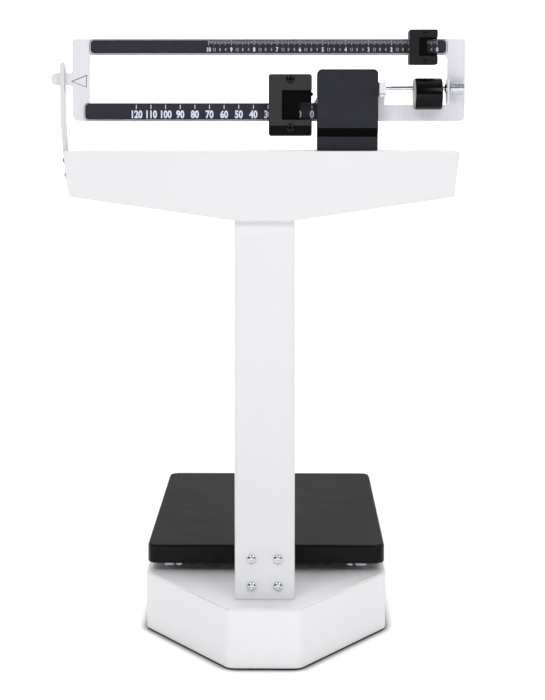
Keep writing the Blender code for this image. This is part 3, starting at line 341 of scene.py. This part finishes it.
def drill(piece, radius):
    """Bore a piece along the balance screw's axis."""
    start, length = 150, 60
    tool = [(0, length), (radius, length), (radius, 0), (0, 0)]
    cut_away(piece, [turned(tool, 32, facing(RIGHT, start, SCREW_AXIS_Y, SCREW_AXIS_Z))])


def build_balance_weight():
    """The weight, hung below the screw's axis, with a chamfered end and a bare metal face at the other."""
    radius, bore, chamfer, left, disc, length, drop = 17.1, 2.7, 1.4, 161.2, 1.6, 30.6, 6.2
    place = facing(RIGHT, left, SCREW_AXIS_Y, SCREW_AXIS_Z - drop)
    rim = [
        (radius - chamfer + chamfer * math.sin(turn), length - chamfer + chamfer * math.cos(turn))
        for turn in (0, 0.4, 0.8, 1.2, math.pi / 2)
    ]
    profile = [(0, length), *rim, (radius, disc + 0.5), (radius - 0.5, disc), (0, disc)]
    weight = add_piece("balance_weight_fine", turned(profile, 96, place), "balance_weight")
    drill(weight, bore)
    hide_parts("balance_weight")
    face = [(0, disc - 0.05), (radius - 0.5, disc - 0.05), (radius - 0.5, 1.0), (radius - 1.4, 0), (0, 0)]
    disc_face = add_piece("balance_weight_face", turned(face, 96, place), "balance_weight", material=END_FACE)
    drill(disc_face, bore)


def build_knob_and_screw():
    """The grooved steel knob, and the screw with its collar."""
    knob_left, screw_left = 199.9, 126.6
    knob_profile = [
        (0, 15.7),
        (6.7, 15.7),
        (7.5, 14.9),
        (7.5, 3.6),
        (7.25, 3.4),
        (7.25, 3.0),
        (7.5, 2.8),
        (7.5, 0.9),
        (6.8, 0),
        (0, 0),
    ]
    mesh = turned(knob_profile, 72, facing(RIGHT, knob_left, SCREW_AXIS_Y, SCREW_AXIS_Z))
    knob = add_piece("balance_knob_fine", mesh, "balance_knob", material=FINISH_OF["steel"])
    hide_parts("balance_knob")

    rod = [
        (0, 72.7),
        (2.4, 72.7),
        (2.4, 70.6),
        (6.4, 70.3),
        (6.4, 69.4),
        (3.2, 68.2),
        (2.4, 68.0),
        (2.4, 10.0),
        (2.0, 9.4),
        (2.0, 4.0),
        (1.5, 0.0),
        (0, 0.0),
    ]
    mesh = turned(rod, 48, facing(RIGHT, screw_left, SCREW_AXIS_Y, SCREW_AXIS_Z))
    screw = add_piece("balance_screw_fine", mesh, "balance_screw")
    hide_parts("balance_screw")


def slab(name, node, corners, left, right, material):
    """A thin closed bar across a piece: a profile of (y, z) between two X."""
    bm = bmesh.new()
    ends = [[bm.verts.new((x, py, pz)) for py, pz in corners] for x in (left, right)]
    bm.faces.new(ends[0])
    bm.faces.new(list(reversed(ends[1])))
    count = len(corners)
    for i in range(count):
        j = (i + 1) % count
        bm.faces.new((ends[0][j], ends[0][i], ends[1][i], ends[1][j]))
    bmesh.ops.recalc_face_normals(bm, faces=bm.faces)
    add_piece(name, to_row(bm), node, material=material)


def build_bands():
    """The dark slanted bands of the pivot cover and of the large poise's front: a glossy black sheet with almost
    no reflection over the faces that turn down. It is painted shade that keeps them dark.
    """
    thick = 0.12
    cover = [(34.0, 587.0), (40.0, 577.5)]
    poise = [(37.0, 589.6), (40.6, 580.6), (40.6, 578.9)]
    for name, node, slant, left, right in (
        ("pivot_cover_band", "pivot_cover", cover, 57.3, 122.5),
        ("large_poise_band", "large_poise_front", poise, 5.2, 50.2),
    ):
        outside = [(y - thick, z) for y, z in reversed(slant)]
        slab(name, node, slant + outside, left, right, SHADE_BAND)


def build_shoes():
    """Bright steel shoes under the platform's front corners, which show below its skirt."""
    front, back, low, high, rounding = 146.0, 158.0, 72.4, 83.95, 0.8
    for side, spans in (
        ("left", ((-119.0, -108.5), (-105.5, -99.0))),
        ("right", ((95.5, 101.5), (105.0, 117.0))),
    ):
        bm = bmesh.new()
        for left, right in spans:
            block(bm, (left, front, low), (right, back, high))
        bmesh.ops.bevel(bm, geom=bm.edges[:], offset=rounding, segments=2, affect="EDGES")
        add_piece(f"platform_shoe_{side}", to_row(bm), "platform_frame", "steel")


# ---------------------------------------------------------------- graduations


def ink(name, colour, roughness, spread):
    """Printing or an engraved line, a little uneven in colour and gloss."""
    made = Finish(name, colour, roughness)
    made.tint(made.noise(700), spread)
    made.polish(made.noise(900), 0.08)
    return made.material


INK = ink("pale_ink", (0.62, 0.68, 0.80), 0.5, 0.06)
FINE_INK = ink("fine_ink", (0.36, 0.39, 0.46), 0.5, 0.08)
# dark engraved lines; on the pointer triangle they are also painted shade on the walls of its recess
ENGRAVED_AND_SHADE = ink("engraved_line_and_shade", (0.07, 0.075, 0.09), 0.6, 0.1)
PRINT = 0.06  # how far printing stands off the metal
PRINT_GAP = 0.01
PRINT_MIDDLE = STRIP_FRONT - PRINT_GAP - PRINT / 2
FIGURE_EXTRUDE = 0.01  # half the thickness of a figure before it is scaled


def numeral(bm, words, x, z, height, narrow, weight):
    """Print a number in condensed figures, centred on a point of the bar's front face."""
    curve = bpy.data.curves.new("numeral", "FONT")
    curve.body = words
    curve.align_x = "CENTER"
    curve.align_y = "BOTTOM_BASELINE"
    curve.size = 1.0
    curve.offset = weight
    curve.extrude = FIGURE_EXTRUDE
    curve.resolution_u = 3
    holder = bpy.data.objects.new("numeral", curve)
    bpy.context.scene.collection.objects.link(holder)
    graph = bpy.context.evaluated_depsgraph_get()
    mesh = bpy.data.meshes.new_from_object(holder.evaluated_get(graph))
    bpy.data.objects.remove(holder, do_unlink=True)
    scale = height / max(v.co.y for v in mesh.vertices)
    rows = (
        (scale * narrow, 0, 0, x),
        (0, 0, -PRINT / (2 * FIGURE_EXTRUDE), PRINT_MIDDLE),
        (0, scale, 0, z),
        (0, 0, 0, 1),
    )
    mesh.transform(Matrix(rows))
    bm.from_mesh(mesh)
    bpy.data.meshes.remove(mesh)


def tick(bm, x, low, high, width):
    """Print an upright stroke on a bar."""
    back = STRIP_FRONT - PRINT_GAP
    block(bm, (x - width / 2, back - PRINT, low), (x + width / 2, back, high))


def build_lower_graduations():
    """Tens of pounds, from 0 at the right."""
    baseline, top = LOWER_BAR_LOW + 2.0, LOWER_BAR_HIGH - 1.4
    bm = bmesh.new()
    for i in range(LOWER_COUNT):
        x = LOWER_ZERO - i * LOWER_STEP
        numeral(bm, str(i * 10), x, baseline, height=8.2, narrow=0.78, weight=0.04)
        tick(bm, x, top - 4.2, top, 0.8)
    add_piece("lower_graduations", to_row(bm), "lower_scale_bar", material=INK)


def build_upper_graduations():
    """Pounds in bold figures, with fine strokes for the ounces and figures at every fourth."""
    baseline, fine_baseline, top = UPPER_BAR_LOW + 1.8, UPPER_BAR_LOW + 2.3, UPPER_BAR_HIGH - 0.8
    bold, fine = bmesh.new(), bmesh.new()
    for i in range(UPPER_COUNT):
        x = UPPER_ZERO - i * UPPER_STEP
        numeral(bold, str(i), x, baseline, height=4.6, narrow=0.8, weight=0.03)
        tick(fine, x, top - 4.8, top, 0.55)
        if i == UPPER_COUNT - 1:
            continue
        for ounce in range(1, OUNCES):
            place = x - ounce * UPPER_STEP / OUNCES
            tick(fine, place, top - (4.4 if ounce % 4 == 0 else 3.0), top, 0.5)
            if ounce % 4 == 0:
                numeral(fine, str(ounce), place, fine_baseline, height=3.4, narrow=0.8, weight=0.012)
    add_piece("upper_graduations", to_row(bold), "upper_scale_bar", material=INK)
    add_piece("upper_ounce_graduations", to_row(fine), "upper_scale_bar", material=FINE_INK)


def line(bm, start, end, y, width):
    """A thin engraved line on the beam plate."""
    (x0, z0), (x1, z1) = start, end
    along = Vector((x1 - x0, z1 - z0)).normalized() * width / 2
    aside = Vector((-along.y, along.x))
    corners = [
        (x0 - along.x + aside.x, z0 - along.y + aside.y),
        (x1 + along.x + aside.x, z1 + along.y + aside.y),
        (x1 + along.x - aside.x, z1 + along.y - aside.y),
        (x0 - along.x - aside.x, z0 - along.y - aside.y),
    ]
    front = [bm.verts.new((x, y - 0.05, z)) for x, z in corners]
    back = [bm.verts.new((x, y - PRINT_GAP, z)) for x, z in corners]
    bm.faces.new(front)
    bm.faces.new(list(reversed(back)))
    for i in range(4):
        j = (i + 1) % 4
        bm.faces.new((front[j], front[i], back[i], back[j]))


def build_pointer_mark():
    """The engraved triangle that points to the loop, drawn as dark lines on the plate: painted shade on the
    walls of its recess.
    """
    bm = bmesh.new()
    tip, top, bottom = (-211.2, 637.6), (-195.0, 644.2), (-195.4, 631.4)
    # the widths follow the shade: broadest on the upper edge, in shadow, narrowest on the lower, lit edge
    for start, end, width in ((tip, top, 0.9), (top, bottom, 0.75), (bottom, tip, 0.6)):
        line(bm, start, end, PLATE_FRONT, width)
    bmesh.ops.recalc_face_normals(bm, faces=bm.faces)
    add_piece("pointer_triangle", to_row(bm), "beam_frame", material=ENGRAVED_AND_SHADE)


def strip_end(bm, tip, inner, low, high, radius, y, width):
    """A line round one end of a graduated bar, with rounded corners."""
    side = 1 if inner > tip else -1
    points = [(inner, high)]
    for z, turns in ((high, (90, 120, 150, 180)), (low, (180, 210, 240, 270))):
        centre = z - radius if z == high else z + radius
        for turn in turns:
            angle = math.radians(turn)
            points.append((tip + side * radius * (1 + math.cos(angle)), centre + radius * math.sin(angle)))
    points.append((inner, low))
    for start, end in zip(points, points[1:], strict=False):
        if (Vector(end) - Vector(start)).length > 1e-6:
            line(bm, start, end, y, width)


def build_outlines():
    """The engraved lines round both graduated bars, and the slit in the lug beside the pivot cover."""
    radius, width = 4.0, 0.5
    lower, upper = (LOWER_BAR_LOW - 0.9, LOWER_BAR_HIGH + 0.3), (UPPER_BAR_LOW - 1.0, UPPER_BAR_HIGH + 0.8)
    bm = bmesh.new()
    for tip, inner, edges in (
        (LOWER_BAR_LEFT, 69.0, lower),
        (UPPER_BAR_LEFT, 150.0, upper),
        (UPPER_BAR_RIGHT, 150.0, upper),
    ):
        strip_end(bm, tip, inner, *edges, radius, PLATE_FRONT, width)
    line(bm, (124.4, 623.8), (130.6, 623.8), LUG_FRONT, 0.7)
    bmesh.ops.recalc_face_normals(bm, faces=bm.faces)
    add_piece("beam_engraving", to_row(bm), "beam_frame", material=ENGRAVED_AND_SHADE)


# ---------------------------------------------------------------- stage


MIX_A, MIX_B, MIX_RESULT = 6, 7, 2  # the colour sockets of a Mix node, which has others by the same names


def map_range(tree, low, high, to_low=0.0, to_high=1.0):
    """A node that maps one range of values to another."""
    node = tree.nodes.new("ShaderNodeMapRange")
    node.inputs["From Min"].default_value = low
    node.inputs["From Max"].default_value = high
    node.inputs["To Min"].default_value = to_low
    node.inputs["To Max"].default_value = to_high
    return node


def light_floor(paper, near, far):
    """Let the floor glow a little, more with distance, and paint a contact shadow where the scale stands:
    ambient occlusion darkens both its colour and its glow there.
    """
    tree = paper.tree
    link = tree.links.new
    reach = tree.nodes.new("ShaderNodeVectorMath")
    reach.operation = "LENGTH"
    glow = map_range(tree, near, far, 0.26, 0.9)
    contact_shadow_occlusion = tree.nodes.new("ShaderNodeAmbientOcclusion")
    contact_shadow_occlusion.inputs["Distance"].default_value = 0.013
    contact_shadow_occlusion.samples = 12
    openness = map_range(tree, 0.42, 0.95)
    shaded = tree.nodes.new("ShaderNodeMath")
    shaded.operation = "MULTIPLY"
    colour = tree.nodes.new("ShaderNodeMix")
    colour.data_type = "RGBA"
    # painted shadow: the floor's colour where the ambient occlusion finds the scale close by
    colour.inputs[MIX_A].default_value = (0.07, 0.07, 0.075, 1.0)
    tint = paper.shader.inputs["Base Color"].links[0].from_socket
    link(paper.place, reach.inputs[0])
    link(reach.outputs["Value"], glow.inputs["Value"])
    link(contact_shadow_occlusion.outputs["AO"], openness.inputs["Value"])
    link(glow.outputs["Result"], shaded.inputs[0])
    link(openness.outputs["Result"], shaded.inputs[1])
    link(shaded.outputs["Value"], paper.shader.inputs["Emission Strength"])
    link(openness.outputs["Result"], colour.inputs[0])
    link(tint, colour.inputs[MIX_B])
    link(colour.outputs[MIX_RESULT], paper.shader.inputs["Base Color"])
    paper.shader.inputs["Emission Color"].default_value = (1.0, 1.0, 1.0, 1.0)


def build_floor():
    """A pale floor that sweeps up into a backdrop."""
    front, depth, half, bend, rise, steps = -6.0, 4.0, 9.0, 1.5, 8.0, 12
    sunk = 0.0002  # keeps the floor off the underside of the feet
    profile = [(front, 0.0), (depth, 0.0)]
    for i in range(1, steps + 1):
        turn = math.pi / 2 * i / steps
        profile.append((depth + bend * math.sin(turn), bend * (1 - math.cos(turn))))
    profile.append((depth + bend, rise))
    bm = bmesh.new()
    rows = [[bm.verts.new((x, y, z - sunk)) for x in (-half, half)] for y, z in profile]
    for low, high in zip(rows, rows[1:], strict=False):
        bm.faces.new((low[0], low[1], high[1], high[0]))
    mesh = bpy.data.meshes.new("floor")
    bm.to_mesh(mesh)
    bm.free()
    mesh.shade_smooth()
    floor = bpy.data.objects.new("floor", mesh)
    bpy.context.scene.collection.objects.link(floor)
    paper = Finish("paper_sweep", (0.93, 0.93, 0.93), 0.95, specular=0.1)
    paper.tint(paper.noise(3), 0.004)
    light_floor(paper, near=0.5, far=depth)
    mesh.materials.append(paper.material)


def area_light(name, place, target, size, power):
    """A soft rectangular light at a place, turned towards a target."""
    data = bpy.data.lights.new(name, "AREA")
    data.shape = "RECTANGLE"
    data.size, data.size_y = size
    data.energy = power
    light = bpy.data.objects.new(name, data)
    bpy.context.scene.collection.objects.link(light)
    light.location = place
    light.rotation_euler = (Vector(target) - Vector(place)).to_track_quat("-Z", "Y").to_euler()


def build_light():
    """A pale room, dimmer in front of the scale, with soft lights at the front, above and low down."""
    world = bpy.data.worlds.new("studio")
    bpy.context.scene.world = world
    world.use_nodes = True
    tree = world.node_tree
    background = tree.nodes["Background"]
    background.inputs["Color"].default_value = (1.0, 1.0, 1.0, 1.0)
    direction = tree.nodes.new("ShaderNodeTexCoord").outputs["Generated"]
    split = tree.nodes.new("ShaderNodeSeparateXYZ")
    fade = map_range(tree, -0.95, 0.0, 0.10, 0.52)
    fade.interpolation_type = "SMOOTHSTEP"
    seen = tree.nodes.new("ShaderNodeMix")
    seen.inputs["B"].default_value = 1.0
    tree.links.new(direction, split.inputs["Vector"])
    tree.links.new(split.outputs["Y"], fade.inputs["Value"])
    tree.links.new(tree.nodes.new("ShaderNodeLightPath").outputs["Is Camera Ray"], seen.inputs["Factor"])
    tree.links.new(fade.outputs["Result"], seen.inputs["A"])
    tree.links.new(seen.outputs["Result"], background.inputs["Strength"])
    middle = (0, 0, 0.4)
    area_light("key", (-1.0, -2.2, 2.2), middle, (0.9, 0.9), 22)
    area_light("fill", (1.2, -2.2, 1.9), middle, (0.9, 0.9), 18)
    area_light("top", (0, 0.3, 2.8), middle, (2.4, 2.4), 9)
    area_light("low", (0, -2.4, 0.25), (0, 0, 0.1), (1.6, 0.3), 3)
    bpy.context.scene.view_settings.view_transform = "Standard"


def build_camera():
    """A long lens in front of the head, looking slightly down."""
    tilt, turn = 4.0, 0.556
    data = bpy.data.cameras.new("camera")
    data.sensor_width = 36.0
    data.lens = 81.05
    data.shift_y = -0.1874
    camera = bpy.data.objects.new("camera", data)
    bpy.context.scene.collection.objects.link(camera)
    camera.location = at(25.1, -1672.3, 607.9)
    camera.rotation_euler = (math.radians(90 - tilt), 0.0, math.radians(turn))
    bpy.context.scene.camera = camera


build_screws()
build_balance_weight()
build_knob_and_screw()
build_lower_graduations()
build_upper_graduations()
build_pointer_mark()
build_bands()
build_shoes()
build_outlines()
build_floor()
build_light()
build_camera()
